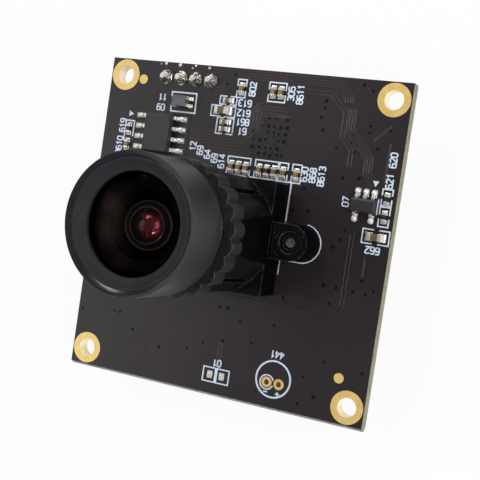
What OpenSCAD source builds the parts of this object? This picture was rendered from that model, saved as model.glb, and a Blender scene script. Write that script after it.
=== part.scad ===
// Board camera: a square circuit board, a moulded lens holder screwed to it, and a
// wide-angle lens that turns in the holder's thread and is locked by a lobed ring.
// Lengths are in millimetres. The board's front face is z = 0 and the lens axis is +Z.

/* [Circuit board] */
// Length of each side of the square board
board_w = 38; // [38:0.5:44]
// Thickness of the board
board_t = 1.6; // [1:0.1:2]
// Distance from the board's edges to the centres of the corner holes
hole_inset = 2; // [2:0.05:2.4]
// Diameter of the plated corner holes
hole_d = 2.2; // [2:0.1:2.6]
// Diameter of the gold land round each corner hole
land_d = 3.75; // [3.2:0.05:3.8]
// Height of the rough rib left along the edge where the board was snapped off
score_rib = 0.35; // [0.1:0.05:0.5]
// Thickness of the lands and pads
pad_t = 0.05; // [0.03:0.01:0.08]

/* [Lens holder] */
// Width of the square base of the holder
base_w = 12.9; // [12.9:0.1:13.6]
// Height of the base
base_h = 4; // [3.8:0.1:4.6]
// Height of the tower's top above the board
tower_h = 12.4; // [11.8:0.1:15]
// Diameter of the tower at its foot
tower_foot_d = 14; // [13.9:0.1:14.6]
// Diameter of the tower at its top
tower_top_d = 13.4; // [13.2:0.1:13.8]
// Nominal diameter of the lens thread
thread_d = 12; // [11.6:0.1:12.2]
// Width of the four slots that split the tower
slot_w = 0.65; // [0.3:0.05:0.8]
// Spacing of the two screws that hold the holder to the board
ear_pitch = 18; // [18:0.1:19.4]
// Width of each screw ear
ear_w = 4.06; // [3.4:0.02:4.4]
// Height of each screw ear
ear_h = 4.1; // [3.8:0.1:4.6]
// Height of the low neck between an ear and the base
neck_h = 3.6; // [2.8:0.1:3.7]
// Wall of the hollow base
base_wall = 1.05; // [0.8:0.05:1.2]
// Height of the hollow for the sensor
cavity_h = 2; // [1.8:0.1:2.2]
// Thickness of the shelf that carries the filter
shelf_t = 1.2; // [1:0.1:1.4]

/* [Holder screws] */
// Diameter of the screw shank
screw_d = 1.3; // [1.1:0.1:1.5]
// Diameter of the screw head
screw_head_d = 3.2; // [2.6:0.1:3.4]
// Height of the screw head
screw_head_h = 1.1; // [0.8:0.1:1.4]

/* [Sensor and filter] */
// Width of the sensor package
sensor_w = 8.4; // [7:0.1:9.2]
// Height of the sensor package
sensor_h = 0.7; // [0.5:0.05:0.9]
// Width of the sensor's cover glass
cover_w = 7.8; // [6.4:0.1:8.2]
// Thickness of the cover glass
cover_t = 0.4; // [0.3:0.05:0.5]
// Width of the infrared filter
filter_w = 8; // [7:0.1:8.6]
// Thickness of the infrared filter
filter_t = 0.35; // [0.2:0.05:0.45]

/* [Lock ring] */
// Thickness of the lock ring
ring_t = 2.5; // [1.8:0.1:3.2]
// Diameter across the tips of the ring's lobes
lobe_tip_d = 14.66; // [14.4:0.02:15.4]
// Number of lobes
lobe_count = 23; // [18:1:26]
// Depth of the cusps between the lobes
cusp_depth = 0.52; // [0.4:0.02:0.6]

/* [Lens barrel] */
// Diameter of the lens head
head_d = 14; // [13.8:0.1:15.6]
// Length of the lens head
head_l = 6.15; // [5.85:0.05:7.4]
// Gap between the lock ring and the head
head_gap = 2.3; // [1.6:0.1:3.2]
// Length of the barrel behind the head
tail_l = 11.9; // [11:0.1:12.6]
// Length of the plain neck behind the head
relief_l = 0.9; // [0.6:0.1:1.4]
// Diameter of the plain neck
relief_d = 11; // [10.8:0.1:11.4]
// Radius of the rounded front edge of the head
head_round = 0.5; // [0.2:0.05:0.5]
// Diameter of the bore that holds the inner glass
cell_bore_d = 8.4; // [8:0.1:9]

/* [Front glass] */
// Diameter of the front ring's opening
opening_d = 10; // [9:0.1:10.4]
// Outer diameter of the front ring
front_ring_d = 12.8; // [12.4:0.1:13]
// Thickness of the front ring
front_ring_t = 1.25; // [1.1:0.05:1.5]
// Depth of the front ring below the head's front edge
ring_recess = 0.3; // [0.1:0.05:0.4]
// Depth of the front ring's dish
dish_depth = 0.5; // [0.2:0.05:0.6]
// Diameter of the front glass
front_glass_d = 11.4; // [11:0.1:11.8]
// Thickness of the front glass at its edge
front_glass_edge = 2.4; // [2:0.1:2.8]
// Radius of curvature of the front face
front_face_r = 14.3; // [12:0.1:18]
// Depth of the hollow in the back of the front glass
hollow_depth = 2.3; // [1.8:0.1:2.5]
// Radius of curvature of that hollow
hollow_r = 3.4; // [3.2:0.1:4]

/* [Inner glass] */
// Length of the inner lens cell
cell_l = 5.4; // [5:0.1:5.8]
// Diameter of the second lens
second_d = 5.6; // [5:0.1:6]
// Thickness of the second lens at its edge
second_edge = 1.6; // [1.2:0.1:2]
// Radius of curvature of the second lens
second_r = 4.2; // [3.6:0.1:5]
// Diameter of the clear mouth in front of the second lens
cell_mouth_d = 4.7; // [3.8:0.1:4.8]
// Depth of the flared baffle in front of that mouth
lip_depth = 0.5; // [0.3:0.1:0.8]
// Diameter of the hole in the aperture stop
stop_d = 2.2; // [1.4:0.1:3]
// Thickness of the aperture stop
stop_t = 0.2; // [0.1:0.05:0.3]
// Thickness of the rear lens at its edge
rear_edge = 3.2; // [2.6:0.1:3.6]
// Radius of curvature of the rear lens
rear_r = 6.5; // [5.6:0.1:8]
// Thickness of the rear retaining ring
rear_ring_t = 0.9; // [0.6:0.1:1.2]

/* [Cable connector] */
// Spacing of the connector pins
pin_pitch = 2; // [1.9:0.05:2.1]
// Number of connector pins
pin_count = 4; // [4:1:4]
// Width of each square pin
pin_w = 0.5; // [0.4:0.05:0.6]
// Distance of the pins from the board's edge
pin_inset = 1.8; // [1.7:0.05:2.2]
// Height of the connector behind the board
plug_h = 6; // [5:0.1:7]
// Depth of the connector, across the pins
plug_d = 4.5; // [4.3:0.1:4.8]
// Wall of the connector
plug_wall = 0.6; // [0.4:0.05:0.7]

/* [Chips] */
// Length of the memory chip
memory_l = 4.9; // [4.6:0.1:5.2]
// Width of the memory chip
memory_w = 3.7; // [3.5:0.1:4.1]
// Thickness of the memory chip
memory_h = 1; // [0.7:0.05:1.4]
// Span of the memory chip's leads, tip to tip
memory_span = 6; // [5.8:0.1:6.4]
// Spacing of the memory chip's leads
memory_pitch = 1.27; // [1.2:0.01:1.3]
// Length of the regulator chip
regulator_l = 2.9; // [2.7:0.1:3]
// Width of the regulator chip
regulator_w = 1.6; // [1.4:0.1:1.8]
// Thickness of the regulator chip
regulator_h = 0.95; // [0.8:0.05:1.2]
// Span of the regulator chip's leads, tip to tip
regulator_span = 2.9; // [2.7:0.1:3]
// Spacing of the regulator chip's leads
regulator_pitch = 0.95; // [0.9:0.01:1]
// Width of the square controller chip on the back
controller_w = 9; // [7:0.1:9.4]
// Thickness of the controller chip
controller_h = 0.85; // [0.7:0.05:1]
// Number of contacts along each side of the controller chip
controller_side = 16; // [8:1:18]

/* [Small parts] */
// Length of the small capacitors and resistors
small_l = 1; // [0.9:0.05:1.1]
// Width of the small capacitors and resistors
small_w = 0.5; // [0.4:0.05:0.55]
// Height of the small capacitors
small_h = 0.45; // [0.35:0.05:0.55]
// Height of the resistors
resistor_h = 0.35; // [0.25:0.05:0.4]
// Length of the large capacitors
large_l = 1.6; // [1.5:0.05:1.7]
// Width of the large capacitors
large_w = 0.8; // [0.7:0.05:0.9]
// Length of the choke
choke_l = 2; // [1.9:0.05:2.1]
// Width of the choke
choke_w = 1.25; // [1.1:0.05:1.35]
// Height of the choke
choke_h = 1.2; // [0.9:0.05:1.3]

/* [Clearances] */
// Radial running clearance of the lens thread
thread_clear = 0.08; // [0.05:0.01:0.1]
// Gap between faces of pieces that turn on each other
seat_gap = 0.1; // [0.05:0.01:0.2]
// Clearance round a piece fitted into a pocket or a hole
fit_clear = 0.05; // [0.02:0.01:0.06]
// Space between the holder and the memory chip's leads
holder_space = 1.7; // [1.6:0.05:2.4]
// Gap between neighbouring small parts in a row
small_gap = 0.43; // [0.35:0.01:0.5]

/* [Hidden] */
$fn = 96;

edge = board_w / 2;
hole_at = edge - hole_inset;
rib_top = board_t * 0.38;
rib_base = board_t * 0.62;

ear_x = ear_pitch / 2;
ear_r = ear_w / 2;
ear_start = base_w / 2 + 0.55;
screw_hole_d = screw_d + 2 * fit_clear;
screw_tip = 0.3;
screw_reach = ear_h - 0.2;

bore_r = thread_d / 2;
shelf_top = cavity_h + shelf_t;
slot_start = base_h + 0.6;
filter_pocket = filter_w + 2 * fit_clear;
filter_seat = cavity_h + filter_t + 0.05;

ring_base = tower_h + seat_gap;
ring_top = ring_base + ring_t;
lobe_half = 180 / lobe_count;
cusp_r = lobe_tip_d / 2 - cusp_depth;
cusp_x = cusp_r * cos(lobe_half);
cusp_y = cusp_r * sin(lobe_half);
lobe_r = (pow(lobe_tip_d / 2 - cusp_x, 2) + pow(cusp_y, 2)) / (2 * (lobe_tip_d / 2 - cusp_x));
lobe_phase = 6;

thread_r = thread_d / 2 - thread_clear;
head_back = ring_top + head_gap;
lens_front = head_back + head_l;
barrel_back = head_back - tail_l;
ring_front = lens_front - ring_recess;
front_seat = ring_front - front_ring_t;
glass_seat = front_seat - front_glass_edge;
cell_bore_r = cell_bore_d / 2;
back_lip_r = cell_bore_r - 0.9;
back_lip_t = 0.8;

glass_r = front_glass_d / 2;
crown = sqrt(pow(front_face_r, 2) - pow(glass_r, 2));
face_centre = front_seat - fit_clear - crown;
hollow_centre = glass_seat + hollow_depth - hollow_r;

cell_top = glass_seat - fit_clear;
cell_base = cell_top - cell_l;
lip_top = cell_top - lip_depth;
lip_w = 0.5;
second_top = lip_top - 0.9;
second_base = second_top - second_edge;
second_depth = second_top - cell_base + 0.02;
second_centre = second_top - sqrt(pow(second_r, 2) - pow(second_d / 2, 2));
stop_top = cell_base;
stop_base = stop_top - stop_t;
rear_top = stop_base - 0.5;
rear_base = rear_top - rear_edge;
rear_ring_top = rear_base - fit_clear;

pin_y = edge - pin_inset;
pin_x = 10.6 - edge;
plug_l = (pin_count - 1) * pin_pitch + 3.9;
plug_y = pin_y - 0.55;

memory_at = [-base_w / 2 - holder_space - memory_span / 2, edge - 8.6];
regulator_at = [edge - 3.5, 5.2];
controller_at = [2, -9.5];
choke_at = [memory_at.x + 2.55, memory_at.y + 4];
microphone_at = [8, -edge + 2.8];
diode_at = [0.85, -edge + 2.2];
crystal_at = [-6.6, -9.5];

// Each small part is [x, y, angle]: its centre and the direction of its length.
row_y = base_w / 2 + small_l * 1.1;
row_step = small_w + small_gap;
top_row_y = edge - 2.4;
side_x = edge - 1.1;
front_capacitors = [
    for (k = [-1.2, -0.2, 0.8, 2.63, 4.63, 5.83, 7.58]) [k * row_step, row_y, 90],
    for (x = [-1.2, 2.8, 3.75]) [x, top_row_y, 90],
    for (y = [3.9, 6.4, 7.25]) [-2.7, edge - y, 0],
    [memory_at.x - 4.3, memory_at.y - 1.8, 90],
];
front_resistors = [
    [3.63 * row_step, row_y, 90],
    [memory_at.x - 4.3, memory_at.y + 0.1, 90],
    for (y = [-0.95, 1]) [side_x, regulator_at.y + y, 90],
];
front_large = [[-3.2, edge - 5.12, 0], [edge - 1.72, regulator_at.y - 3.25, 0]];
back_capacitors = [
    for (side = [-1, 1], i = [0:2]) [side * 4.4, 2.4 * (i - 1) + 1, 90],
    for (i = [0:3]) [-3.2 + i * 2.1, 5.6, 0],
];
back_large = [[10.4, -9.5, 90], [12.6, -9.5, 90], [-3.4, 10.5, 0]];
back_resistors = [for (i = [0:2]) [8.4, 8 + i * 1.2, 0]];

gold = "#d9b25f";
silver = "#c9c9c6";
black_plastic = "#2b292c";

// ---- shared shapes ----

module rounded_square(w, r) {
    square([w, w - 2 * r], center = true);
    square([w - 2 * r, w], center = true);
    for (x = [-1, 1], y = [-1, 1]) translate([x, y] * (w / 2 - r)) circle(r);
}

module slab(size, z) {
    translate([0, 0, z + size.z / 2]) cube(size, center = true);
}

module tube(outer_r, inner_r, z, h) {
    translate([0, 0, z]) difference() {
        cylinder(r = outer_r, h = h);
        translate([0, 0, -1]) cylinder(r = inner_r, h = h + 2);
    }
}

module at_corner_holes() {
    for (x = [-1, 1], y = [-1, 1]) translate([x * hole_at, y * hole_at, 0]) children();
}

module at_ears() {
    for (side = [-1, 1]) translate([side * ear_x, 0, 0]) children();
}

module at_pins() {
    for (i = [0:pin_count - 1])
        translate([pin_x + (i - (pin_count - 1) / 2) * pin_pitch, pin_y, 0]) children();
}

// Places each child on the front face.
module on_front(parts) {
    for (p = parts) translate([p.x, p.y, 0]) rotate(p.z) children();
}

// Places each child on the back face, turned to point away from it.
module on_back(parts) {
    translate([0, 0, -board_t]) mirror([0, 0, 1]) on_front(parts) children();
}

module two_terminals(l, w, h) {
    for (side = [-1, 1]) translate([side * l * 3 / 8, 0, 0]) slab([l / 4, w, h], pad_t);
}

module two_pads(l, w) {
    for (side = [-1, 1]) translate([side * l / 2, 0, 0]) slab([l / 2, w + 0.15, pad_t], 0);
}

module chip_middle(l, w, h) {
    slab([l / 2, w - 0.03, h - 0.03], pad_t + 0.015);
}

// A bent lead seen from its side: it leaves the body, drops and ends in a flat foot.
module bent_lead(start, tip, drop, t, w) {
    foot = (tip - start) * 0.5;
    translate([0, w / 2, pad_t]) rotate([90, 0, 0]) linear_extrude(w) polygon([
        [start, drop], [start + t * 1.2, drop], [tip - foot - t, 0], [tip, 0], [tip, t],
        [tip - foot, t], [start + t * 2.2, drop + t], [start, drop + t],
    ]);
}

// A moulded chip body whose sides lean in above and below its leads.
module moulded_body(l, w, h, lift) {
    translate([0, 0, pad_t + lift]) {
        slab([w, l, h / 2], 0);
        slab([w - 0.16, l - 0.16, h / 2], h / 2);
    }
}

module plated_hole(land_r, hole_r, wall) {
    difference() {
        union() {
            cylinder(r = land_r, h = pad_t);
            translate([0, 0, -board_t]) cylinder(r = hole_r + wall, h = board_t);
            translate([0, 0, -board_t - pad_t]) cylinder(r = land_r, h = pad_t);
        }
        translate([0, 0, -board_t - 1]) cylinder(r = hole_r, h = board_t + 2);
    }
}

// ---- circuit board ----

plating = 0.05;
spare_hole_r = 0.3;
spare_pitch = 1.5;
pin_hole_r = pin_w * 0.9;

module at_spare_holes() {
    for (side = [-1, 1])
        translate([microphone_at.x + side * spare_pitch / 2, microphone_at.y, 0]) children();
}

module circuit_board() color("#3a3031") difference() {
    union() {
        translate([0, 0, -board_t]) linear_extrude(board_t) square(board_w, center = true);
        // rough rib left along one edge by the score line
        translate([-edge, -edge, 0]) rotate([90, 0, 90]) linear_extrude(board_w) polygon([
            [1, 0], [0, 0], [-score_rib, -rib_top], [-score_rib, -rib_base], [0, -board_t],
            [1, -board_t],
        ]);
    }
    at_corner_holes() translate([0, 0, -board_t - 1])
        cylinder(d = hole_d + 2 * plating, h = board_t + 2);
    at_spare_holes() translate([0, 0, -board_t - 1])
        cylinder(r = spare_hole_r + plating, h = board_t + 2);
    at_pins() translate([0, 0, -board_t - 1]) cylinder(r = pin_hole_r, h = board_t + 2);
    at_ears() translate([0, 0, -board_t - 1]) cylinder(d = screw_hole_d, h = board_t + 2);
}

module corner_hole_plating() color(gold) at_corner_holes()
    plated_hole(land_d / 2, hole_d / 2, plating);

module alignment_marks() color(gold)
    for (p = [[-hole_at + 2.55, hole_at - 0.35], [hole_at - 1.4, -hole_at + 3]])
        translate([p.x, p.y, 0]) cylinder(d = 1.15, h = pad_t);

module spare_part_lands() color(gold) {
    at_spare_holes() plated_hole(0.62, spare_hole_r, plating);
    for (side = [-1, 1])
        translate([diode_at.x + side * 0.76, diode_at.y, 0]) slab([0.65, 0.84, pad_t], 0);
}

module solder_pads() color(silver) {
    on_front(concat(front_capacitors, front_resistors)) two_pads(small_l, small_w);
    on_front(front_large) two_pads(large_l, large_w);
    on_back(concat(back_capacitors, back_resistors)) two_pads(small_l, small_w);
    on_back(back_large) two_pads(large_l, large_w);
    at_memory_leads() translate([memory_span / 2 - 0.1, 0, 0])
        slab([(memory_span - memory_w) * 0.81, 0.62, pad_t], 0);
    at_regulator_leads() translate([regulator_span / 2 - 0.05, 0, 0])
        slab([(regulator_span - regulator_w) * 0.69, 0.6, pad_t], 0);
    at_choke_terminals() slab([0.55, 0.45, pad_t], 0);
    at_pins() tube(0.85, pin_hole_r, 0, pad_t);
}

// ---- lens holder ----

module ear_outline() {
    translate([ear_x, 0]) circle(ear_r);
    translate([ear_start, -ear_r]) square([ear_x - ear_start, ear_w]);
}

module ears() for (side = [0, 180]) rotate(side) {
    linear_extrude(ear_h) ear_outline();
    translate([base_w / 2 - 1, -ear_r, 0]) cube([ear_start - base_w / 2 + 1.2, ear_w, neck_h]);
}

module tower() intersection() {
    union() {
        translate([0, 0, base_h - 0.5])
            cylinder(d1 = tower_foot_d, d2 = tower_top_d, h = tower_h - base_h + 0.2);
        translate([0, 0, tower_h - 0.3])
            cylinder(d1 = tower_top_d, d2 = tower_top_d - 0.6, h = 0.3);
    }
    translate([-base_w / 2, -base_w / 2, 0]) cube([base_w, base_w, tower_h]);
}

module lens_holder() color(black_plastic) difference() {
    union() {
        linear_extrude(base_h) rounded_square(base_w, 0.35);
        tower();
        ears();
    }
    // hollow for the sensor, pocket for the filter and the window between them
    slab([base_w - 2 * base_wall, base_w - 2 * base_wall, cavity_h + 1], -1);
    slab([filter_pocket, filter_pocket, filter_seat], 0);
    slab([filter_w - 1.6, filter_w - 1.6, shelf_top + 1], 0);
    // bore for the lens, with a lead-in
    translate([0, 0, shelf_top]) cylinder(r = bore_r, h = tower_h);
    translate([0, 0, tower_h - 0.3]) cylinder(r1 = bore_r, r2 = bore_r + 0.31, h = 0.31);
    // slots that let the tower spring on the lens
    for (a = [45:90:315]) rotate(a)
        translate([bore_r - 1, -slot_w / 2, slot_start]) cube([3, slot_w, tower_h]);
    at_ears() {
        translate([0, 0, -1]) cylinder(d = screw_hole_d, h = ear_h + 2);
        // shallow recess round the mouth of the screw hole
        translate([0, 0, ear_h - 0.12]) cylinder(d = screw_hole_d + 1.1, h = 1);
    }
}

module holder_screws() color(silver) at_ears() difference() {
    union() {
        translate([0, 0, -board_t - screw_head_h]) {
            cylinder(d1 = screw_head_d * 0.8, d2 = screw_head_d, h = screw_head_h * 0.4);
            translate([0, 0, screw_head_h * 0.4])
                cylinder(d = screw_head_d, h = screw_head_h * 0.6);
        }
        translate([0, 0, -board_t]) cylinder(d = screw_d, h = board_t + screw_reach - screw_tip);
        translate([0, 0, screw_reach - screw_tip])
            cylinder(d1 = screw_d, d2 = screw_d * 0.75, h = screw_tip);
    }
    // cross recess in the head
    for (a = [0, 90]) rotate(a)
        slab([screw_head_d * 0.55, 0.4, 0.6 + 1], -board_t - screw_head_h - 1);
}

// ---- sensor and filter ----

module image_sensor() color("#55504a")
    slab([sensor_w, sensor_w, sensor_h], pad_t);

module sensor_cover_glass() color("#8fa3a6")
    slab([cover_w, cover_w, cover_t], pad_t + sensor_h);

module infrared_filter() color("#a86a72")
    slab([filter_w, filter_w, filter_t], filter_seat - filter_t);

// ---- lens ----

module barrel_profile() difference() {
    union() {
        // threaded tail and plain neck
        translate([0, barrel_back]) square([thread_r, tail_l - relief_l]);
        translate([0, barrel_back]) square([relief_d / 2, tail_l + 0.5]);
        // head with its rounded front edge
        translate([0, head_back]) square([head_d / 2, head_l - head_round]);
        translate([0, head_back]) square([head_d / 2 - head_round, head_l]);
        translate([head_d / 2 - head_round, lens_front - head_round]) circle(head_round);
    }
    translate([0, barrel_back - 1]) square([back_lip_r, tail_l]);
    translate([0, barrel_back + back_lip_t]) square([cell_bore_r, lens_front]);
    translate([0, glass_seat]) square([glass_r + fit_clear, lens_front]);
    translate([0, front_seat]) square([front_ring_d / 2 + fit_clear, lens_front]);
    translate([-1, barrel_back - 1]) square([1, lens_front]);
}

module lens_barrel() color("#343237") rotate_extrude() barrel_profile();

module lens_front_ring() color("#38363a") difference() {
    rotate_extrude() polygon([
        [opening_d / 2, front_seat + 0.02], [front_ring_d / 2, front_seat],
        [front_ring_d / 2, ring_front], [front_ring_d / 2 - 0.15, ring_front],
        [opening_d / 2, ring_front - dish_depth],
    ]);
    translate([0, 0, face_centre]) sphere(front_face_r + fit_clear, $fn = 160);
}

module front_lens() color("#1d2224") difference() {
    intersection() {
        translate([0, 0, glass_seat]) cylinder(r = glass_r, h = front_face_r);
        translate([0, 0, face_centre]) sphere(front_face_r, $fn = 160);
    }
    translate([0, 0, hollow_centre]) sphere(hollow_r);
}

// Turned cell: a lip and a flared baffle in front, and behind them the second lens,
// which goes in from the back and bears on the lip.
module inner_lens_cell() color("#26262a") difference() {
    rotate_extrude() difference() {
        translate([0, cell_base]) square([cell_bore_r - fit_clear, cell_l]);
        translate([-1, cell_base - 1]) square([1 + second_d / 2 + fit_clear, 1 + second_depth]);
        translate([-1, cell_base]) square([1 + cell_mouth_d / 2, cell_l + 1]);
        polygon([
            [0, lip_top], [cell_mouth_d / 2 + lip_w, lip_top],
            [cell_bore_r - 0.7, cell_top + 0.01], [0, cell_top + 0.01],
        ]);
    }
    translate([0, 0, second_centre]) sphere(second_r + fit_clear);
}

module second_lens() color("#5a2330") intersection() {
    translate([0, 0, second_base]) cylinder(d = second_d, h = second_r);
    translate([0, 0, second_centre]) sphere(second_r);
}

module aperture_stop() color("#1b1b1d") tube(cell_bore_r - fit_clear, stop_d / 2, stop_base, stop_t);

module rear_lens() color("#313c3d") intersection() {
    translate([0, 0, rear_base]) cylinder(r = cell_bore_r - fit_clear, h = rear_edge);
    translate([0, 0, rear_top - rear_r]) sphere(rear_r);
}

module rear_retaining_ring() color("#29292c")
    tube(cell_bore_r - fit_clear, back_lip_r, rear_ring_top - rear_ring_t, rear_ring_t);

// ---- lock ring ----

module focus_lock_ring() color("#3c3a3d") translate([0, 0, ring_base]) linear_extrude(ring_t)
    difference() {
        union() {
            circle(r = cusp_x);
            for (i = [0:lobe_count - 1]) rotate(lobe_phase + i * 2 * lobe_half)
                translate([lobe_tip_d / 2 - lobe_r, 0]) circle(r = lobe_r, $fn = 48);
        }
        circle(r = bore_r);
    }

// ---- chips ----

memory_lift = 0.1;

module at_memory_leads() {
    translate([memory_at.x, memory_at.y, 0]) for (side = [0, 180]) rotate(side)
        for (i = [0:3]) translate([0, (i - 1.5) * memory_pitch, 0]) children();
}

module memory_chip() color("#4b4a48") translate([memory_at.x, memory_at.y, 0])
    moulded_body(memory_l, memory_w, memory_h, memory_lift);

module memory_chip_leads() color(silver) at_memory_leads()
    bent_lead(memory_w / 2, memory_span / 2, memory_lift + memory_h * 0.3, 0.15, 0.42);

// The regulator stands on three leads on one side and two on the other.
module at_regulator_leads() {
    translate([regulator_at.x, regulator_at.y, 0]) {
        for (i = [-1:1]) translate([i * regulator_pitch, 0, 0]) rotate(90) children();
        for (i = [-1, 1]) translate([i * regulator_pitch, 0, 0]) rotate(-90) children();
    }
}

module regulator_chip() color("#3f3d3d") translate([regulator_at.x, regulator_at.y, 0])
    rotate(90) moulded_body(regulator_l, regulator_w, regulator_h, 0.05);

module regulator_chip_leads() color(silver) at_regulator_leads()
    bent_lead(regulator_w / 2, regulator_span / 2, 0.05 + regulator_h * 0.3, 0.13, 0.38);

contact_step = (controller_w - 1.2) / (controller_side - 1);

module at_controller() on_back([[controller_at.x, controller_at.y, 0]]) children();

module controller_chip() color("#39383a") at_controller()
    slab([controller_w, controller_w, controller_h], pad_t);

module controller_contacts() color(silver) at_controller() for (a = [0:90:270]) rotate(a)
    for (i = [0:controller_side - 1])
        translate([controller_w / 2, (i - (controller_side - 1) / 2) * contact_step, 0])
            slab([0.5, contact_step * 0.5, pad_t], 0);

module clock_crystal() color(silver) on_back([[crystal_at.x, crystal_at.y, 0]]) {
    slab([3.2, 2.5, 0.35], 0);
    slab([2.9, 2.2, 0.4], 0.35);
}

// ---- small parts ----

module at_choke_terminals() {
    translate([choke_at.x, choke_at.y, 0]) for (x = [-1, 1], y = [-1, 1])
        translate([x * (choke_l / 2 + 0.05), y * (choke_w / 2 - 0.2), 0]) children();
}

module data_line_choke() color("#8b8d91") translate([choke_at.x, choke_at.y, 0])
    slab([choke_l - 0.2, choke_w, choke_h], pad_t);

module choke_terminals() color(silver) translate([choke_at.x, choke_at.y, 0])
    for (x = [-1, 1], y = [-1, 1])
        translate([x * (choke_l / 2 - 0.05), y * (choke_w / 2 - 0.2), 0])
            slab([0.1, 0.4, choke_h * 0.8], pad_t);

module small_capacitors() color("#a9824f") {
    on_front(front_capacitors) chip_middle(small_l, small_w, small_h);
    on_back(back_capacitors) chip_middle(small_l, small_w, small_h);
}

module small_capacitor_ends() color(silver) {
    on_front(front_capacitors) two_terminals(small_l, small_w, small_h);
    on_back(back_capacitors) two_terminals(small_l, small_w, small_h);
}

module large_capacitors() color("#b08a58") {
    on_front(front_large) chip_middle(large_l, large_w, large_w);
    on_back(back_large) chip_middle(large_l, large_w, large_w);
}

module large_capacitor_ends() color(silver) {
    on_front(front_large) two_terminals(large_l, large_w, large_w);
    on_back(back_large) two_terminals(large_l, large_w, large_w);
}

module resistors() color("#2a2a2c") {
    on_front(front_resistors) chip_middle(small_l, small_w, resistor_h);
    on_back(back_resistors) chip_middle(small_l, small_w, resistor_h);
}

module resistor_ends() color(silver) {
    on_front(front_resistors) two_terminals(small_l, small_w, resistor_h);
    on_back(back_resistors) two_terminals(small_l, small_w, resistor_h);
}

// ---- cable connector ----

plug_floor = 1;
pin_front = 1.1;

module cable_connector() color("#e9e4d6") difference() {
    on_back([[pin_x, plug_y, 0]]) difference() {
        slab([plug_l, plug_d, plug_h], 0);
        slab([plug_l - 2 * plug_wall, plug_d - 2 * plug_wall, plug_h], plug_floor);
        // notches for the ribs of the plug
        for (side = [-1, 1]) translate([side * (plug_l / 2 - 2), -plug_d / 2, plug_floor + 1.6])
            translate([-0.5, -0.1, 0]) cube([1, plug_wall + 0.2, plug_h]);
    }
    at_pins() slab([pin_w + fit_clear, pin_w + fit_clear, plug_h], -board_t - plug_h);
}

module connector_pins() color(gold) at_pins()
    slab([pin_w, pin_w, pin_front + board_t + plug_h - 1.2], -board_t - plug_h + 1.2);

module pin_solder_joints() color(silver) at_pins() difference() {
    translate([0, 0, pad_t]) {
        cylinder(r1 = 0.8, r2 = 0.62, h = 0.25);
        translate([0, 0, 0.25]) cylinder(r1 = 0.62, r2 = 0.4, h = 0.45);
    }
    slab([pin_w + fit_clear, pin_w + fit_clear, 2], -0.5);
}

circuit_board();
corner_hole_plating();
alignment_marks();
spare_part_lands();
solder_pads();
lens_holder();
holder_screws();
image_sensor();
sensor_cover_glass();
infrared_filter();
lens_barrel();
lens_front_ring();
front_lens();
inner_lens_cell();
second_lens();
aperture_stop();
rear_lens();
rear_retaining_ring();
focus_lock_ring();
memory_chip();
memory_chip_leads();
regulator_chip();
regulator_chip_leads();
controller_chip();
controller_contacts();
clock_crystal();
data_line_choke();
choke_terminals();
small_capacitors();
small_capacitor_ends();
large_capacitors();
large_capacitor_ends();
resistors();
resistor_ends();
cable_connector();
connector_pins();
pin_solder_joints();
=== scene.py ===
"""Looks for the board camera: a dark circuit board with a screwed-on lens holder.
The part is written in millimetres, and MM makes them metres. The floor, the lights and
the camera are written in metres."""

import itertools
import math
import random

import bmesh
import bpy
from mathutils import Matrix, Vector, noise


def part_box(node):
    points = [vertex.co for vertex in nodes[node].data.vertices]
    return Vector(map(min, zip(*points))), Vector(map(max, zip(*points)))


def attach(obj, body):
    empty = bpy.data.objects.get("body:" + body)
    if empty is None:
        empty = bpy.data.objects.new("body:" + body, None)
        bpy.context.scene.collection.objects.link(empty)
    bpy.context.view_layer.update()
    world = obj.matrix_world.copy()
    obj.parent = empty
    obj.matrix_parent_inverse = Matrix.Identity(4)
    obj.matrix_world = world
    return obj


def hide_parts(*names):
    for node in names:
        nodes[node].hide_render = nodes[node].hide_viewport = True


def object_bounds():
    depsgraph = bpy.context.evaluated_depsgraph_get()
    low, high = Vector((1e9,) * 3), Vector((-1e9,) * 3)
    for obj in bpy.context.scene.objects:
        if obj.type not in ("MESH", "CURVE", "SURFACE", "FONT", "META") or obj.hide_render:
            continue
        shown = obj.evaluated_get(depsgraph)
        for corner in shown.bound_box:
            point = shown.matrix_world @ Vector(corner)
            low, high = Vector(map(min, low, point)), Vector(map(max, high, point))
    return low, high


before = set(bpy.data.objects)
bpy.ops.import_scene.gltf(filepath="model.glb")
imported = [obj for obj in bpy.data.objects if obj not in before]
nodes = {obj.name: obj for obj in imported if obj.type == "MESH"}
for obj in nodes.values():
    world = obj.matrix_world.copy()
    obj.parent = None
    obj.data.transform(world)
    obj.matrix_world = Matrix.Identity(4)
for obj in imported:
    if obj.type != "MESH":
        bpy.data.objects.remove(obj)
CAD_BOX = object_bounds()
MM = 0.001
scene = bpy.context.scene
scene.view_settings.view_transform = "Standard"


def box_mm(node):
    """A node's lowest and highest corners, in millimetres."""
    lo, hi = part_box(node)
    return lo / MM, hi / MM


def middle(node):
    """The middle of a node's box in x and y, in millimetres."""
    lo, hi = box_mm(node)
    return ((lo + hi) / 2).to_2d()


# ---------------------------------------------------------------- materials

def link(tree, a, b):
    tree.links.new(a, b)


def set_inputs(node, values):
    """Sets a node's inputs by name, with _ for each space."""
    for key, value in values.items():
        node.inputs[key.replace("_", " ")].default_value = value


def add(tree, kind, **values):
    """A new shader node; values are its settings or the values of its inputs, by name."""
    n = tree.nodes.new(kind)
    for key, value in values.items():
        if hasattr(n, key):
            setattr(n, key, value)
        else:
            set_inputs(n, {key: value})
    return n


def feed(tree, socket, value):
    """Gives an input a number or a colour, or links it to another node's output."""
    if isinstance(value, bpy.types.NodeSocket):
        link(tree, value, socket)
    elif isinstance(value, (int, float)):
        socket.default_value = value
    else:
        socket.default_value = (*value, 1)


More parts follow.
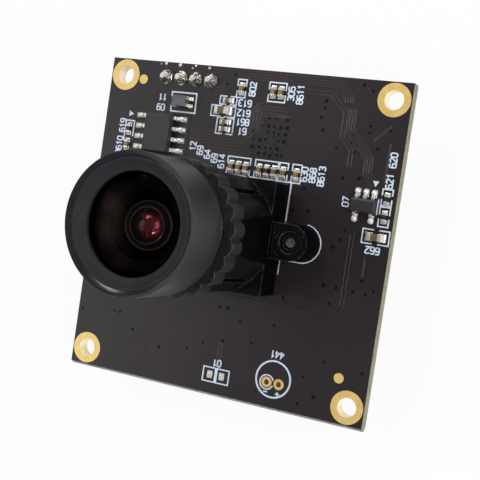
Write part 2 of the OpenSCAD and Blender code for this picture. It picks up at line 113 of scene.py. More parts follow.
def blend_colour(tree, factor, a, b):
    """Colour a turning to b by factor; each may be an output."""
    n = add(tree, "ShaderNodeMix", data_type="RGBA")
    # the node's colours are its inputs 6 and 7 and its output 2
    for i, value in ((0, factor), (6, a), (7, b)):
        feed(tree, n.inputs[i], value)
    return n.outputs[2]


def ramp(tree, source, low, high, out_low=0.0, out_high=1.0):
    """Source mapped from low..high to out_low..out_high and held at the ends."""
    n = add(tree, "ShaderNodeMapRange")
    link(tree, source, n.inputs[0])
    for i, value in enumerate((low, high, out_low, out_high)):
        n.inputs[i + 1].default_value = value
    return n.outputs[0]


def calculate(tree, operation, a, b):
    """The result of a Math node on two numbers or outputs."""
    n = add(tree, "ShaderNodeMath", operation=operation)
    feed(tree, n.inputs[0], a)
    feed(tree, n.inputs[1], b)
    return n.outputs[0]


def multiply(tree, a, b):
    return calculate(tree, "MULTIPLY", a, b)


def mix_shaders(tree, share, a, b):
    """Shader output a with share of b over it."""
    n = add(tree, "ShaderNodeMixShader")
    for socket, value in zip(n.inputs, (share, a, b)):
        feed(tree, socket, value)
    return n.outputs[0]


def noise_at(tree, vector, size_mm, detail, rough=0.55, distortion=0.0):
    """Noise whose patches are about size_mm across, mostly between 0.3 and 0.7."""
    n = add(tree, "ShaderNodeTexNoise", Scale=1 / (size_mm * MM), Detail=detail,
            Roughness=rough, Distortion=distortion)
    link(tree, vector, n.inputs["Vector"])
    return n.outputs[0]


def new_material(name):
    """A new material with its node tree and its default surface shader."""
    m = bpy.data.materials.new(name)
    m.use_nodes = True
    return m, m.node_tree, m.node_tree.nodes["Principled BSDF"]


DUST = (0.16, 0.165, 0.17)


def finish(name, colour, rough, metal=0.0, tint=None, patch=1.5, grain=0.08,
           bump=0.004, rough_spread=0.08, edge=0.0, edge_wear_and_highlight=None, edge_wear_and_highlight_share=0.5, dust=0.0,
           **sockets):
    """A procedural surface: colour drifting towards tint in patches, fine grain in the
    gloss and relief, edges rounded by edge mm and paled towards a given colour, part
    rubbed wear and part painted highlight, and specks of pale dust. patch, grain and
    bump are in millimetres too."""
    m, t, p = new_material(name)
    set_inputs(p, {"Metallic": metal, **sockets})
    where = add(t, "ShaderNodeTexCoord").outputs["Object"]
    soft = noise_at(t, where, patch, 4)
    fine = noise_at(t, where, grain, 2)
    tint = tint or tuple(c * 0.75 for c in colour)
    base = blend_colour(t, ramp(t, soft, 0.35, 0.7), colour, tint)
    normal = None
    if edge:
        normal = add(t, "ShaderNodeBevel", samples=6, Radius=edge * MM).outputs[0]
        if edge_wear_and_highlight:
            geometry = add(t, "ShaderNodeNewGeometry")
            dot = add(t, "ShaderNodeVectorMath", operation="DOT_PRODUCT")
            link(t, normal, dot.inputs[0])
            link(t, geometry.outputs["Normal"], dot.inputs[1])
            # near an edge the rounded normal turns away from the face's own
            turned = ramp(t, dot.outputs["Value"], 0.999, 0.86)
            broken = ramp(t, noise_at(t, where, 0.5, 4), 0.38, 0.62)
            rubbed_and_highlit = multiply(t, multiply(t, turned, broken), edge_wear_and_highlight_share)
            base = blend_colour(t, rubbed_and_highlit, base, edge_wear_and_highlight)
    if dust:
        specks = ramp(t, noise_at(t, where, 0.16, 2, 0.7), 0.62, 0.72)
        clouds = ramp(t, noise_at(t, where, 2.2, 3), 0.5, 0.62, 0.0, dust)
        base = blend_colour(t, multiply(t, specks, clouds), base, DUST)
    link(t, base, p.inputs["Base Color"])
    link(t, ramp(t, fine, 0.3, 0.7, rough - rough_spread, rough + rough_spread),
         p.inputs["Roughness"])
    relief = add(t, "ShaderNodeBump", Strength=1.0, Distance=bump * MM)
    link(t, fine, relief.inputs["Height"])
    if normal:
        link(t, normal, relief.inputs["Normal"])
    link(t, relief.outputs[0], p.inputs["Normal"])
    return m


def dress(node, *materials, pick=None):
    """Gives a CAD node its materials. pick says which of them a face takes, from its
    centre in millimetres and its normal; without it each face takes the first."""
    mesh = nodes[node].data
    mesh.materials.clear()
    for m in materials:
        mesh.materials.append(m)
    for poly in mesh.polygons:
        poly.material_index = int(pick(poly.center / MM, poly.normal)) if pick else 0


# the board and its printing
mask = finish("board_mask", (0.020, 0.014, 0.015), 0.38, tint=(0.015, 0.011, 0.013),
              patch=9.0, grain=0.13, bump=0.004, rough_spread=0.07)
mask_on_copper = finish("mask_on_copper", (0.043, 0.031, 0.029), 0.37,
                        tint=(0.029, 0.021, 0.021), patch=4.0, grain=0.1, bump=0.003)
crowded_mask = finish("mask_between_vias", (0.019, 0.017, 0.0195), 0.34,
                      tint=(0.007, 0.0065, 0.008), patch=0.5, grain=0.3, bump=0.045,
                      rough_spread=0.12)
ink = finish("legend_ink", (0.69, 0.78, 0.92), 0.6, tint=(0.54, 0.62, 0.74), patch=0.35,
             grain=0.07, bump=0.004)
laminate = finish("laminate_edge", (0.36, 0.335, 0.22), 0.75, tint=(0.24, 0.225, 0.15),
                  patch=0.8, grain=0.06, bump=0.02)
# the torn edge along the rib is painted a paler grey: partly its torn laminate, partly painted
# light
torn_laminate_painted_light = finish("torn_laminate_painted_light", (0.40, 0.40, 0.38), 0.85, tint=(0.20, 0.20, 0.19),
                       patch=0.45, grain=0.07, bump=0.06)
tented = finish("tented_via", (0.0035, 0.003, 0.003), 0.5, patch=0.5, grain=0.08, bump=0.003,
                Specular_IOR_Level=0.2)
# gold, solder and tin
gold = finish("gold_flash", (0.93, 0.66, 0.235), 0.34, 0.35, tint=(0.82, 0.56, 0.18),
              patch=0.9, grain=0.05, bump=0.003, rough_spread=0.1, edge=0.02)
# a pale copy of the gold: painted light on the walls of the corner holes
painted_light_gold = finish("corner_hole_gold_painted_light", (1.0, 0.93, 0.74), 0.38, 0.0,
                     tint=(0.98, 0.82, 0.52), patch=0.8, grain=0.05, bump=0.003)
# a dark copy of the gold: painted shade inside the small plated holes
painted_shade_hole_gold = finish("small_hole_gold_painted_shade", (0.20, 0.13, 0.05), 0.5, 0.2, patch=0.5)
solder = finish("solder", (0.97, 0.96, 0.92), 0.19, 0.6, tint=(0.74, 0.72, 0.67),
                patch=0.25, grain=0.22, bump=0.022, rough_spread=0.10, edge=0.05)
pin_solder = finish("hand_solder", (0.97, 0.95, 0.91), 0.14, 0.97, tint=(0.62, 0.60, 0.56),
                    patch=0.3, grain=0.42, bump=0.085, rough_spread=0.07)
blob_solder = finish("solder_on_leads", (0.98, 0.97, 0.94), 0.16, 0.4,
                     tint=(0.82, 0.80, 0.75), patch=0.3, grain=0.3, bump=0.03,
                     rough_spread=0.08)
thin_tin = finish("thin_tin", (0.55, 0.52, 0.46), 0.42, 0.6, tint=(0.28, 0.26, 0.23),
                  patch=0.22, grain=0.12, bump=0.01)
bright_tin = finish("reflowed_tin", (0.93, 0.92, 0.87), 0.30, 0.25, tint=(0.40, 0.38, 0.35),
                    patch=0.16, grain=0.12, bump=0.01)
tin = finish("tinned_ends", (0.93, 0.91, 0.85), 0.28, 0.6, tint=(0.66, 0.63, 0.56),
             patch=0.25, grain=0.08, bump=0.004, rough_spread=0.10, edge=0.06)
# the lens holder, its screws, the lens and the lock ring
# the holder's pale edges are part rubbed wear and part painted highlight
moulded = finish("holder_plastic", (0.004, 0.004, 0.0045), 0.34, tint=(0.003, 0.003, 0.0035),
                 patch=1.8, grain=0.16, bump=0.008, rough_spread=0.1, edge=0.10,
                 edge_wear_and_highlight=(0.17, 0.17, 0.175), edge_wear_and_highlight_share=0.7, dust=0.6, Specular_IOR_Level=0.16)
# a darker copy of the holder plastic: painted shade on the walls that turn away from the tower;
# its pale edges are part wear, part painted highlight
painted_shade_wall = finish("holder_wall_painted_shade", (0.002, 0.002, 0.0022), 0.6, tint=(0.001, 0.001, 0.001),
                     patch=1.8, grain=0.16, bump=0.006, rough_spread=0.1, edge=0.10,
                     edge_wear_and_highlight=(0.10, 0.10, 0.105), edge_wear_and_highlight_share=0.6, Specular_IOR_Level=0.04)
screw_end = finish("screw_end", (0.42, 0.36, 0.29), 0.35, 0.8, tint=(0.045, 0.04, 0.037),
                   patch=0.22, grain=0.1, bump=0.02)
anodised = finish("black_anodised", (0.020, 0.0185, 0.022), 0.34, tint=(0.015, 0.014, 0.017),
                  patch=2.5, grain=0.05, bump=0.0025, rough_spread=0.05, edge=0.05,
                  Specular_IOR_Level=0.45)
lip_finish = finish("turned_lip", (0.020, 0.0185, 0.022), 0.18, tint=(0.015, 0.014, 0.0165),
                    patch=2.5, grain=0.05, bump=0.001, rough_spread=0.03,
                    Specular_IOR_Level=0.32)
flare = finish("turned_flare", (0.02, 0.0185, 0.0165), 0.35, tint=(0.010, 0.009, 0.008),
               patch=0.5, grain=0.06, bump=0.004)
bezel = finish("matt_bezel", (0.027, 0.0245, 0.028), 0.6, tint=(0.022, 0.020, 0.023),
               patch=2.0, grain=0.06, bump=0.003, rough_spread=0.05, edge=0.04,
               Specular_IOR_Level=0.12)
baffle = finish("flat_black", (0.0022, 0.0018, 0.002), 0.55, tint=(0.001, 0.001, 0.001),
                patch=1.0, grain=0.08, bump=0.003, Specular_IOR_Level=0.08)
# pale beads for the cell's turned edges: painted highlights
turned_edge_painted_highlight = finish("turned_edge_painted_highlight", (0.24, 0.29, 0.30), 0.35, tint=(0.15, 0.19, 0.20),
                     patch=0.6, grain=0.05, bump=0.003)
# the aperture stop is painted red: a painted reflection of the lens coating's red
red_stop_painted_reflection = finish("stop_painted_red_reflection", (0.10, 0.005, 0.012), 0.35, tint=(0.02, 0.003, 0.006),
                  patch=0.7, grain=0.08, bump=0.004)
# the lock ring's pale edges are part rubbed wear and part painted highlight
ring_finish = finish("lock_ring_finish", (0.018, 0.0165, 0.019), 0.42,
                     tint=(0.006, 0.0055, 0.006), patch=0.45, grain=0.12, bump=0.008,
                     rough_spread=0.1, edge=0.14, edge_wear_and_highlight=(0.15, 0.145, 0.145), edge_wear_and_highlight_share=0.6,
                     dust=0.5)
# the bought parts
dark_epoxy = finish("dark_chip_epoxy", (0.028, 0.0255, 0.026), 0.46,
                    tint=(0.018, 0.0165, 0.017), patch=0.35, grain=0.07, bump=0.010,
                    edge=0.05)
epoxy = finish("chip_epoxy", (0.031, 0.030, 0.0285), 0.48, tint=(0.024, 0.023, 0.022),
               patch=0.8, grain=0.05, bump=0.006, edge=0.05)
steel = finish("plated_steel", (0.62, 0.62, 0.62), 0.28, 1.0, tint=(0.48, 0.48, 0.49),
               patch=0.8, grain=0.06, bump=0.004, edge=0.06)
can = finish("nickel_can", (0.66, 0.65, 0.62), 0.30, 1.0, tint=(0.54, 0.53, 0.50),
             patch=0.6, grain=0.05, bump=0.003, edge=0.12)
ferrite = finish("ferrite", (0.15, 0.152, 0.16), 0.42, tint=(0.075, 0.077, 0.082), patch=0.3,
                 grain=0.08, bump=0.014, edge=0.08)
dull_ceramic = finish("large_capacitor_ceramic", (0.16, 0.115, 0.062), 0.45,
                      tint=(0.105, 0.075, 0.04), patch=0.4, grain=0.05, bump=0.004, edge=0.05)
ceramic = finish("capacitor_ceramic", (0.27, 0.18, 0.075), 0.40, tint=(0.17, 0.11, 0.045),
                 patch=0.4, grain=0.05, bump=0.004, edge=0.05)
overcoat = finish("resistor_coat", (0.028, 0.028, 0.032), 0.3, patch=0.4, grain=0.05,
                  bump=0.003, edge=0.04)
nylon = finish("natural_nylon", (0.80, 0.76, 0.66), 0.42, tint=(0.74, 0.69, 0.58), patch=2.0,
               grain=0.09, bump=0.006, edge=0.12, Subsurface_Weight=0.12,
               Subsurface_Scale=0.0008)
package = finish("sensor_package", (0.13, 0.12, 0.11), 0.5, edge=0.04)


def glass(name, colour, rough, ior):
    """Clear glass with a slight colour."""
    m, t, p = new_material(name)
    set_inputs(p, {"Roughness": rough, "IOR": ior, "Transmission_Weight": 1.0})
    where = add(t, "ShaderNodeTexCoord").outputs["Object"]
    dark = tuple(c * 0.93 for c in colour)
    link(t, blend_colour(t, noise_at(t, where, 2.0, 2), colour, dark), p.inputs["Base Color"])
    return m


def coated_glass(name, through, ior, share, rough, sheen, left=None):
    """Glass that lets light through and, for its share, mirrors it softly in the colour
    of its coating. With left, the mirror colour is painted by side: that colour left of
    the axis and sheen right of it, with dark patches, is a painted reflection; a part of
    it mirrors sharply."""
    m, t, p = new_material(name)
    t.nodes.remove(p)
    clear = add(t, "ShaderNodeBsdfRefraction", Roughness=0.0, IOR=ior, Color=(*through, 1))
    gloss = add(t, "ShaderNodeBsdfGlossy", Roughness=rough)
    mirrored = gloss.outputs[0]
    where = add(t, "ShaderNodeTexCoord").outputs["Object"]
    if left:
        # the mirror colour changes at the axis: painted reflection
        axes = add(t, "ShaderNodeSeparateXYZ")
        link(t, where, axes.inputs[0])
        sheen = blend_colour(t, ramp(t, axes.outputs["X"], -0.5 * MM, 0.1 * MM), left, sheen)
        spots = ramp(t, noise_at(t, where, 0.5, 3, 0.6, 0.4), 0.45, 0.7, 0.0, 0.7)
        sheen = blend_colour(t, spots, sheen, (0.01, 0.008, 0.008))
        sharp = add(t, "ShaderNodeBsdfGlossy", Roughness=0.06, Color=(0.75, 0.22, 0.33, 1))
        mirrored = mix_shaders(t, 0.3, mirrored, sharp.outputs[0])
    else:
        spots = ramp(t, noise_at(t, where, 2.5, 2), 0.35, 0.7)
        sheen = blend_colour(t, spots, sheen, tuple(c * 0.8 for c in sheen))
    link(t, sheen, gloss.inputs["Color"])
    over = mix_shaders(t, share, clear.outputs[0], mirrored)
    link(t, over, t.nodes["Material Output"].inputs["Surface"])
    return m


front_glass = coated_glass("coated_front_glass", (0.92, 0.86, 0.84), 1.5, 0.3, 0.12,
                           (0.0142, 0.0092, 0.0086))
# its red right side and pale left side are a painted reflection
second_glass = coated_glass("second_glass_painted_reflection", (0.70, 0.80, 0.78), 1.6, 0.7, 0.40,
                            (1.0, 0.24, 0.31), left=(0.62, 0.60, 0.52))
rear_glass = glass("coated_rear_glass", (0.8, 0.75, 0.8), 0.02, 1.6)
filter_glass = glass("filter_glass", (0.75, 0.16, 0.22), 0.0, 1.5)
cover_glass = glass("cover_glass", (0.85, 0.92, 0.92), 0.0, 1.5)

for names, material in (
    (("alignment_marks",), gold),
    (("memory_chip_leads", "regulator_chip_leads", "controller_contacts",
      "choke_terminals"), solder),
    (("small_capacitor_ends", "large_capacitor_ends", "resistor_ends"), tin),
    (("image_sensor",), package), (("sensor_cover_glass",), cover_glass),
    (("infrared_filter",), filter_glass), (("lens_front_ring",), bezel),
    (("inner_lens_cell", "rear_retaining_ring"), baffle), (("aperture_stop",), red_stop_painted_reflection),
    (("second_lens",), second_glass), (("rear_lens",), rear_glass),
    (("focus_lock_ring",), ring_finish),
    (("memory_chip", "regulator_chip", "controller_chip"), epoxy),
    (("clock_crystal",), can), (("data_line_choke",), ferrite),
    (("small_capacitors",), ceramic), (("large_capacitors",), dull_ceramic),
    (("resistors",), overcoat), (("cable_connector",), nylon),
):
    for n in names:
        dress(n, material)

BOARD = box_mm("circuit_board")
EDGE = BOARD[1].x
BOARD_BACK = BOARD[0].z
MEMORY, REGULATOR = middle("memory_chip"), middle("regulator_chip")
CONTROLLER = middle("controller_chip")
HOLES = Vector((8, -16.2))


def board_face(c, n):
    """Solder mask on the two faces, laminate round the edge, torn along the rib and painted a
    paler grey there: painted light.
    """
    if abs(n.z) >= 0.9:
        return 0
    return 2 if c.y < 0.01 - EDGE else 1


def land_face(c, n):
    """Tinned lands of the small part that isn't fitted, and walls painted dark as painted
    shade in the two plated holes of the round one, on either side of HOLES."""
    if c.x < 4:
        return 2
    in_holes = (c.to_2d() - HOLES).length < 1.25 and -1.62 < c.z < 0.02
    return in_holes and abs(n.z) < 0.5


def pad_face(c, n):
    """The memory chip's pads are thinly tinned."""
    return abs(c.x - MEMORY.x) < 4 and abs(c.y - MEMORY.y) < 2.5


dress("circuit_board", mask, laminate, torn_laminate_painted_light, pick=board_face)
dress("spare_part_lands", gold, painted_shade_hole_gold, bright_tin, pick=land_face)
dress("solder_pads", solder, thin_tin, pick=pad_face)
# the walls of the corner holes are painted bright: painted light from the pale floor
dress("corner_hole_plating", gold, painted_light_gold, pick=lambda c, n: abs(n.z) < 0.5)
# solder on the front ends of the pins
dress("connector_pins", gold, tin, pick=lambda c, n: n.z > 0.9)
# the walls of the holder's foot and ear that turn away from the tower are matt and painted
# darker: painted shade
FOOT_SIDE = box_mm("lens_holder")[1].y
dress("lens_holder", moulded, painted_shade_wall,
      pick=lambda c, n: n.x > 0.2 and abs(n.z) < 0.3 and c.x > FOOT_SIDE - 0.05)
# the ends of the screws that stick up into the ears are stained
dress("holder_screws", steel, screw_end, pick=lambda c, n: c.z > 0.5)
# the flat back and the edge of the front glass are blackened
GLASS_BACK = box_mm("front_lens")[0].z
dress("front_lens", front_glass, baffle,
      pick=lambda c, n: abs(n.z) < 0.05 or c.z < GLASS_BACK + 0.02)


# ---------------------------------------------------------------- mesh building

class Shape:
    """Vertices and faces, in millimetres, with a material number for each face."""

    def __init__(self):
        self.v, self.f, self.m = [], [], []

    def add(self, verts, faces, mat=0):
        n = len(self.v)
        self.v += [tuple(v) for v in verts]
        self.f += [tuple(i + n for i in f) for f in faces]
        self.m += [mat] * len(faces)

    def revolve(self, profile, steps, mat=0, centre=(0, 0), sag=None, close=False):
        """Turns (radius, z) points round an upright axis; sag(angle, r, z) moves them."""
        ring = []
        for i in range(steps):
            a = 2 * math.pi * i / steps
            for r, z in profile:
                if sag:
                    r, z = sag(a, r, z)
                ring.append((centre[0] + r * math.cos(a), centre[1] + r * math.sin(a), z))
        k = len(profile)
        spans = k if close else k - 1
        faces = []
        for i in range(steps):
            j = (i + 1) % steps
            for s in range(spans):
                q = (s + 1) % k
                faces.append((i * k + s, j * k + s, j * k + q, i * k + q))
        self.add(ring, faces, mat)

    def ribbon(self, points, width, top, slope=0.03, mat=0, rise=0.0):
        """A raised track along points, whose sides slope out by slope; each point stands
        rise higher than the one before."""
        pts = [Vector(p) for p in points]
        closed = (pts[0] - pts[-1]).length < 1e-6
        if closed:
            pts = pts[:-1]
        n, rows = len(pts), []
        for i, p in enumerate(pts):
            before = pts[i - 1] if i or closed else None
            after = pts[(i + 1) % n] if i < n - 1 or closed else None
            d1 = (p - before).normalized() if before is not None else None
            d2 = (after - p).normalized() if after is not None else None
            d1, d2 = d1 or d2, d2 or d1
            along = (d1 + d2).normalized()
            across = Vector((-along.y, along.x))
            k = 1 / max(0.4, across.dot(Vector((-d1.y, d1.x))))
            half_w = width / 2
            t = top + rise * i
            rows.append([(*(p + across * k * s), z) for s, z in (
                (half_w + slope, 0.0), (half_w, t), (-half_w, t), (-half_w - slope, 0.0))])
        verts = [v for row in rows for v in row]
        spans = n if closed else n - 1
        faces = []
        for i in range(spans):
            a, b = 4 * i, 4 * ((i + 1) % n)
            for s in range(3):
                faces.append((a + s, b + s, b + s + 1, a + s + 1))
        if not closed:
            faces += [(0, 1, 2, 3), (4 * n - 1, 4 * n - 2, 4 * n - 3, 4 * n - 4)]
        self.add(verts, faces, mat)

    def build(self, name, body, materials, smooth=False):
        mesh = bpy.data.meshes.new(name)
        mesh.from_pydata([(x * MM, y * MM, z * MM) for x, y, z in self.v], [], self.f)
        for m in materials:
            mesh.materials.append(m)
        mesh.polygons.foreach_set("material_index", self.m)
        mesh.polygons.foreach_set("use_smooth", [smooth] * len(self.f))
        mesh.update()
        o = bpy.data.objects.new(name, mesh)
        scene.collection.objects.link(o)
        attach(o, body)
        return o


def smooth_by_angle(o, degrees):
    """Shades o smooth except across edges sharper than this."""
    bm = bmesh.new()
    bm.from_mesh(o.data)
    for e in bm.edges:
        if len(e.link_faces) == 2:
            e.smooth = e.calc_face_angle(0) < math.radians(degrees)
    for f in bm.faces:
        f.smooth = True
    bm.to_mesh(o.data)
    bm.free()


def arc(cx, cy, r, a0, a1, steps):
    """Points round cx, cy from a0 to a1 degrees."""
    return [(cx + r * math.cos(math.radians(a0 + (a1 - a0) * i / steps)),
             cy + r * math.sin(math.radians(a0 + (a1 - a0) * i / steps)))
            for i in range(steps + 1)]


def turner(x, y, degrees):
    """A function that turns a point round the origin and moves it to x, y."""
    c, s = math.cos(math.radians(degrees)), math.sin(math.radians(degrees))
    return lambda u, v: (x + u * c - v * s, y + u * s + v * c)


def grid_faces(rows, columns, closed=True):
    """Quads over rows of columns points each; closed joins each row's ends."""
    spans = columns if closed else columns - 1
    return [(k * columns + i, k * columns + (i + 1) % columns,
             (k + 1) * columns + (i + 1) % columns, (k + 1) * columns + i)
            for k in range(rows - 1) for i in range(spans)]


# ---------------------------------------------------------------- printed legend

DIGITS = {
    "0": [[(0, .22), (0, .78), (.05, .92), (.15, 1), (.4, 1), (.5, .92), (.55, .78), (.55, .22),
           (.5, .08), (.4, 0), (.15, 0), (.05, .08), (0, .22)]],
    "1": [[(.06, .8), (.3, 1), (.3, 0)]],
    "2": [[(0, .82), (.04, .93), (.15, 1), (.4, 1), (.52, .92), (.55, .78), (.5, .62),
           (0, 0), (.58, 0)]],
    "3": [[(0, .9), (.12, 1), (.4, 1), (.53, .9), (.53, .64), (.4, .53), (.2, .53)],
          [(.3, .53), (.42, .51), (.55, .38), (.55, .15), (.42, 0), (.13, 0), (0, .11)]],
    "4": [[(.42, 0), (.42, 1), (0, .32)], [(-.05, .3), (.62, .3)]],
    "5": [[(.53, 1), (.05, 1), (.03, .56), (.38, .6), (.52, .5), (.55, .3), (.52, .1),
           (.4, 0), (.12, 0), (0, .1)]],
    "6": [[(.5, .96), (.38, 1), (.14, 1), (.03, .9), (0, .75), (0, .45)],
          [(0, .3), (.03, .08), (.14, 0), (.41, 0), (.52, .08), (.55, .28), (.52, .48),
           (.41, .56), (.14, .56), (.03, .48), (0, .3)]],
    "7": [[(0, 1), (.55, 1), (.2, 0)]],
    "8": [[(.14, .53), (.02, .62), (.02, .9), (.14, 1), (.41, 1), (.53, .9), (.53, .62),
           (.41, .53), (.14, .53)],
          [(.14, .5), (0, .4), (0, .12), (.14, 0), (.41, 0), (.55, .12), (.55, .4), (.41, .5),
           (.14, .5)]],
    "9": [[(.05, .04), (.17, 0), (.41, 0), (.52, .1), (.55, .25), (.55, .55)],
          [(.55, .72), (.52, .92), (.41, 1), (.14, 1), (.03, .92), (0, .72), (.03, .52),
           (.14, .44), (.41, .44), (.52, .52), (.55, .72)]],
}


# a figure's units are made FIGURE_WIDE by FIGURE_HIGH; figures stand PITCH units apart,
# and the last one is LAST units wide
FIGURE_WIDE, FIGURE_HIGH, PITCH, LAST = 0.7912, 0.731, 0.72, 0.55
PEN = 0.15
# each printed line is a little thicker than the last, so that none lie level
LINE_TOPS = itertools.cycle([0.022 + 0.0035 * k for k in (1, 2, 3, 4, 0)])
PRINT_TOP = 0.03
legend = Shape()


def write(text, x, y, turn):
    """Plain figures centred on x, y, turned by so many degrees."""
    place = turner(x, y, turn)
    total = PITCH * (len(text) - 1) + LAST
    for i, ch in enumerate(text):
        for k, stroke in enumerate(DIGITS[ch]):
            pts = [place((u + i * PITCH - total / 2) * FIGURE_WIDE, (v - 0.5) * FIGURE_HIGH)
                   for u, v in stroke]
            legend.ribbon(pts, PEN, PRINT_TOP + 0.008 * k, slope=0.01, rise=0.0006)


def outline(points, width=0.14):
    legend.ribbon(points, width, next(LINE_TOPS), slope=0.01)


def bracket(x0, y0, x1, y1, gap, upright=True):
    """A part's outline as two facing brackets, twice gap apart."""
    if upright:
        m = (y0 + y1) / 2
        outline([(x0, m - gap), (x0, y0), (x1, y0), (x1, m - gap)])
        outline([(x0, m + gap), (x0, y1), (x1, y1), (x1, m + gap)])
    else:
        m = (x0 + x1) / 2
        outline([(m - gap, y0), (x0, y0), (x0, y1), (m - gap, y1)])
        outline([(m + gap, y0), (x1, y0), (x1, y1), (m + gap, y1)])


outline([(-10.2, 13.9), (-10.13, 13.2), (-6.87, 13.2), (-6.95, 15.52), (-10.25, 15.5),
         (-10.23, 14.95)], 0.17)
outline([(-16.05, 9.0), (-16.05, 11.5)])
# this line stands higher because the mask over the memory chip's pads passes under it
legend.ribbon([(-16.0, 11.5), (-14.85, 11.5), (-14.85, 9.6)], 0.16, 0.075, slope=0.01)
bracket(-1.8, 15.6, -0.7, 17.7, 0.25)
bracket(-3.8, 14.65, -1.65, 15.6, 0.2, False)
bracket(-4.75, 13.2, -1.65, 14.45, 0.2, False)
bracket(-3.8, 11.2, -1.65, 13.05, 0.2, False)
bracket(2.2, 15.5, 4.3, 17.7, 0.25)
bracket(-1.65, 6.62, 1.25, 8.72, 0.25)
bracket(1.85, 6.62, 4.72, 8.72, 0.25)
bracket(4.88, 6.62, 5.96, 8.72, 0.25)
bracket(6.5, 6.62, 7.6, 8.72, 0.25)
outline([(16.98, 4.4), (16.98, 6.1)])
bracket(17.3, 3.2, 18.45, 5.35, 0.2)
bracket(17.3, 5.5, 18.45, 7.3, 0.2)
bracket(15.75, 1.2, 18.8, 2.75, 0.3, False)
# the small part that isn't fitted, and the round one with its signs
outline([(-0.8, -17.65), (2.5, -17.65), (2.5, -16.0), (-0.8, -16.0), (-0.8, -17.65)])
outline([(0.85, -17.65), (0.85, -16.0)], 0.34)
legend.ribbon(arc(7.98, -15.75, 2.08, 0, 360, 64), 0.2, PRINT_TOP, slope=0.01)
legend.ribbon(arc(7.25, -16.2, 0.82, 20, 340, 28), 0.14, PRINT_TOP, slope=0.01)
outline([(8.45, -17.32), (9.0, -17.32)], 0.13)
outline([(8.72, -17.58), (8.72, -17.06)], 0.13)
outline([(6.98, -17.3), (7.5, -17.3)])
# outline of the lens holder
outline([(1.0, 6.62), (6.62, 6.62), (6.62, 2.12)], 0.16)
outline([(6.62, -2.12), (6.6, -3.9)], 0.07)
outline([(-1.5, -6.62), (-6.62, -6.62), (-6.62, -2.12)], 0.16)
outline([(-6.62, 2.12), (-6.62, 6.62), (-2.2, 6.62)], 0.16)
legend.ribbon([(7.2, -2.2), *arc(9, 0, 2.2, -88, 82, 34)], 0.11, PRINT_TOP, slope=0.01)
legend.ribbon(arc(-9, 0, 2.2, 98, 268, 34), 0.11, PRINT_TOP, slope=0.01)
# corner arrows at the first leads of the two chips
for place in (turner(-15.45, 12.35, 0), turner(16.4, 7.75, -90)):
    legend.add([(*place(u, v), PRINT_TOP)
                for u, v in ((0.36, 0), (-0.28, 0.36), (-0.28, -0.36))], [(0, 1, 2)])

# the numbers beside the parts
for text, x, y, turn in (
    ("11", -11.47, 14.78, 180), ("09", -11.55, 13.52, 180),
    ("619", -16.47, 10.82, 90), ("8610", -16.58, 8.35, 90),
    ("802", 0.15, 16.7, 90), ("305", 5.0, 16.6, 90), ("8611", 6.1, 16.6, 90),
    ("613", -0.55, 15.0, 180), ("612", -0.55, 13.85, 180), ("861", -0.5, 12.8, 180),
    ("61", -0.4, 11.75, 180),
    ("630", 8.0, 7.75, 90), ("868", 9.0, 7.75, 90), ("8613", 10.05, 7.75, 90),
    ("614", -2.45, 8.0, 90), ("69", -3.45, 8.25, 90), ("64", -4.45, 8.6, 90),
    ("69", -5.45, 8.95, 90), ("12", -6.45, 9.35, 90),
    ("07", 13.3, 5.36, 90), ("621", 17.9, 8.2, 90), ("620", 17.95, 10.5, 90),
    ("662", 17.13, 0.48, 180), ("441", 8.06, -12.87, 180), ("01", 0.79, -15.37, 180),
):
    write(text, x, y, turn)
legend.build("printed_legend", "board", [ink])


# ---------------------------------------------------------------- tracks and vias

TRACK, COPPER_TOP = 0.13, 0.022
# the height of the copper under the crowded field of vias
FIELD_TOP = 0.014
# what covers a piece of copper
OVER_TRACK, PLAIN, CROWDED = 0, 1, 2
tracks = Shape()


def track(points, width=TRACK, mat=OVER_TRACK):
    tracks.ribbon(points, width, COPPER_TOP, mat=mat)


def bundle(points, count, pitch, mat=OVER_TRACK):
    """Parallel tracks that keep their spacing round 45-degree corners."""
    pts = [Vector(p) for p in points]
    for k in range(count):
        rows = []
        for i, p in enumerate(pts):
            d1 = (p - pts[i - 1]).normalized() if i else None
            d2 = (pts[i + 1] - p).normalized() if i < len(pts) - 1 else None
            d1, d2 = d1 or d2, d2 or d1
            along = (d1 + d2).normalized()
            across = Vector((along.y, -along.x))
            m = 1 / across.dot(Vector((d1.y, -d1.x)))
            rows.append(p + across * m * pitch * k)
        track(rows, mat=mat)


def copper_flat(outer, inner, top, mat):
    """A patch of copper: outer is its outline on the board and inner that of its top."""
    n = len(outer)
    tracks.add([(x, y, 0.0) for x, y in outer] + [(x, y, top) for x, y in inner],
               [tuple(range(n, 2 * n))]
               + [(i, (i + 1) % n, n + (i + 1) % n, n + i) for i in range(n)], mat)


bundle([(-1.8, 18.72), (10.6, 18.72), (12.3, 17.0), (12.3, 16.2)], 4, 0.30)
bundle([(6.4, 17.25), (9.9, 17.25), (11.9, 15.3), (11.9, 12.6), (13.2, 11.2), (13.2, 9.2)],
       2, 0.42)
bundle([(12.9, 15.6), (12.9, 13.4), (15.6, 10.6), (15.6, 8.9), (16.6, 7.9)], 4, 0.30)
track([(-7.2, 11.35), (-1.4, 11.35), (0.4, 13.2), (0.4, 14.4), (1.2, 15.2), (1.9, 15.2)])
bundle([(-7.2, 10.98), (-1.2, 10.98), (0.75, 12.95), (0.75, 14.2), (1.4, 14.85), (4.9, 14.85)],
       4, 0.36)
bundle([(-7.2, 9.5), (-0.4, 9.5), (0.4, 8.9)], 2, 0.36)
bundle([(0.2, -7.2), (13.9, -7.2), (14.75, -6.35), (14.75, 2.1), (13.2, 3.6), (12.2, 3.6)],
       2, -0.42, CROWDED)
bundle([(-3.2, 16.9), (-3.9, 16.2), (-6.0, 16.2)], 2, 0.34)
